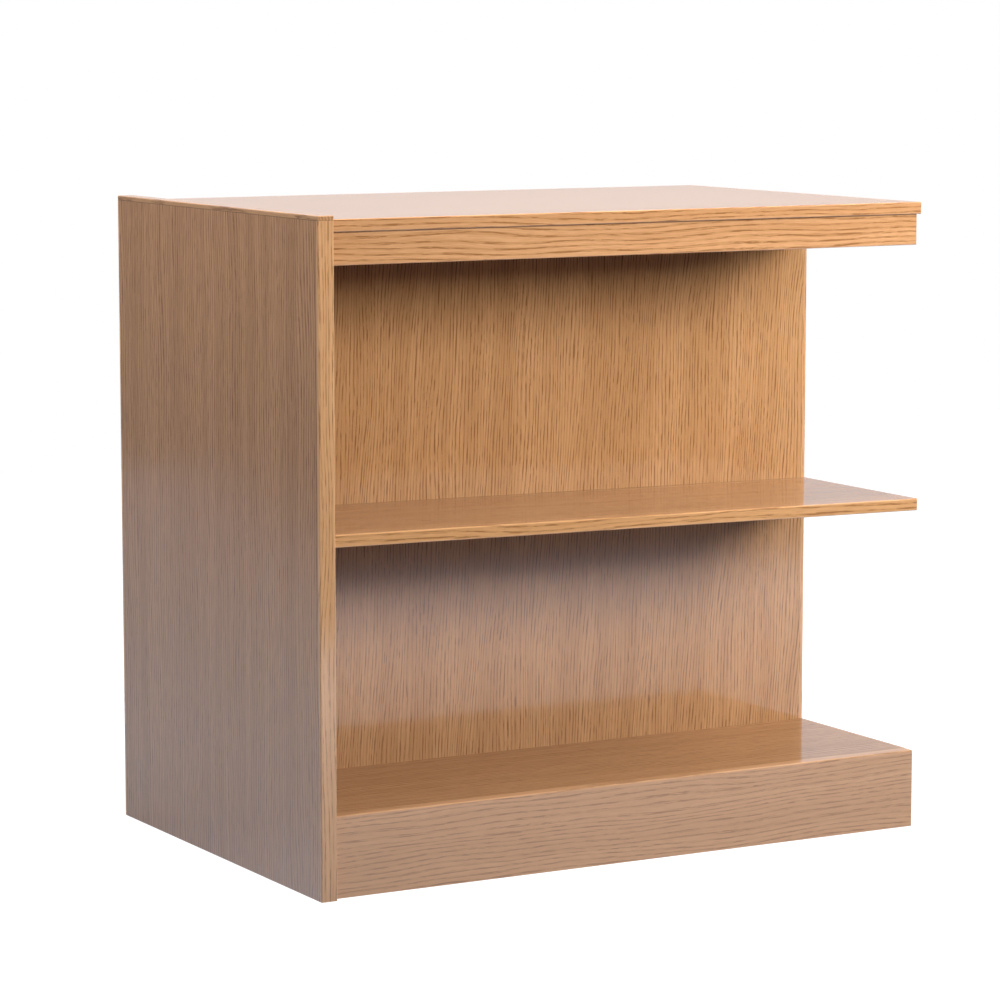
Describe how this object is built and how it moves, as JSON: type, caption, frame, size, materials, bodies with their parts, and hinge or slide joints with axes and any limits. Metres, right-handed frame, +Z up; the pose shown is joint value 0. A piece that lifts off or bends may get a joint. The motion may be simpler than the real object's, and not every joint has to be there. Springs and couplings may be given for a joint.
{
  "type": "library shelving unit",
  "caption": "Low double-faced library shelving unit in oak, with one end panel, an open joining end, adjustable shelves, a centre partition and a closed plinth.",
  "frame": {"origin": "on the floor, under the middle of the overall box", "axes": "+X from the end panel to the open joining end, +Y from the front face to the rear face, +Z up"},
  "size_m": [0.905, 0.6, 0.85],
  "materials": {
    "oak_veneer_upright": "satin lacquered oak veneer, grain upright",
    "oak_veneer_level": "gloss lacquered oak veneer, grain along the unit",
    "oak_lipping": "lacquered solid oak",
    "oak_rail": "lacquered oak, grain along the rail",
    "softwood": "planed softwood",
    "beech": "turned beech",
    "zinc_steel": "zinc plated",
    "coated_steel": "dark powder coat"
  },
  "bodies": {
    "carcass": {"apron_dowels": "beech", "bracket_screws": "zinc_steel", "cleat_screws": "zinc_steel", "end_panel_board": "oak_veneer_upright", "end_panel_front_lipping": "oak_lipping", "end_panel_rear_lipping": "oak_lipping", "end_panel_top_lipping": "oak_lipping", "front_apron": "oak_rail", "front_bottom_shelf": "oak_veneer_level", "front_end_panel_base_rail": "softwood", "front_end_panel_top_cleat": "softwood", "front_glue_blocks": "softwood", "front_kick_board": "oak_rail", "front_middle_base_rail": "softwood", "front_open_end_base_rail": "softwood", "front_open_end_top_cleat": "softwood", "front_shelf_bracket": "coated_steel", "front_shelf_pins": "zinc_steel", "kick_board_dowels": "beech", "partition_bottom_rail": "softwood", "partition_end_lipping": "oak_lipping", "partition_end_panel_stile": "softwood", "partition_front_panel": "oak_veneer_upright", "partition_middle_rail": "softwood", "partition_open_end_stile": "softwood", "partition_rear_panel": "oak_veneer_upright", "partition_top_rail": "softwood", "rear_apron": "oak_rail", "rear_bottom_shelf": "oak_veneer_level", "rear_end_panel_base_rail": "softwood", "rear_end_panel_top_cleat": "softwood", "rear_glue_blocks": "softwood", "rear_kick_board": "oak_rail", "rear_middle_base_rail": "softwood", "rear_open_end_base_rail": "softwood", "rear_open_end_top_cleat": "softwood", "rear_shelf_bracket": "coated_steel", "rear_shelf_pins": "zinc_steel", "stile_screws": "zinc_steel", "top_board": "oak_veneer_level", "top_end_lipping": "oak_lipping", "top_front_lipping": "oak_lipping", "top_rear_lipping": "oak_lipping", "top_screws": "zinc_steel"},
    "front_shelf": {"front_shelf_board": "oak_veneer_level", "front_shelf_lipping": "oak_lipping"},
    "rear_shelf": {"rear_shelf_board": "oak_veneer_level", "rear_shelf_lipping": "oak_lipping"}
  },
  "joints": [
    {"name": "front_shelf_slide", "type": "slide", "parent": "carcass", "child": "front_shelf", "axis": [0, -1, 0], "range_m": [0, 0.28]},
    {"name": "rear_shelf_slide", "type": "slide", "parent": "carcass", "child": "rear_shelf", "axis": [0, 1, 0], "range_m": [0, 0.28]}
  ]
}
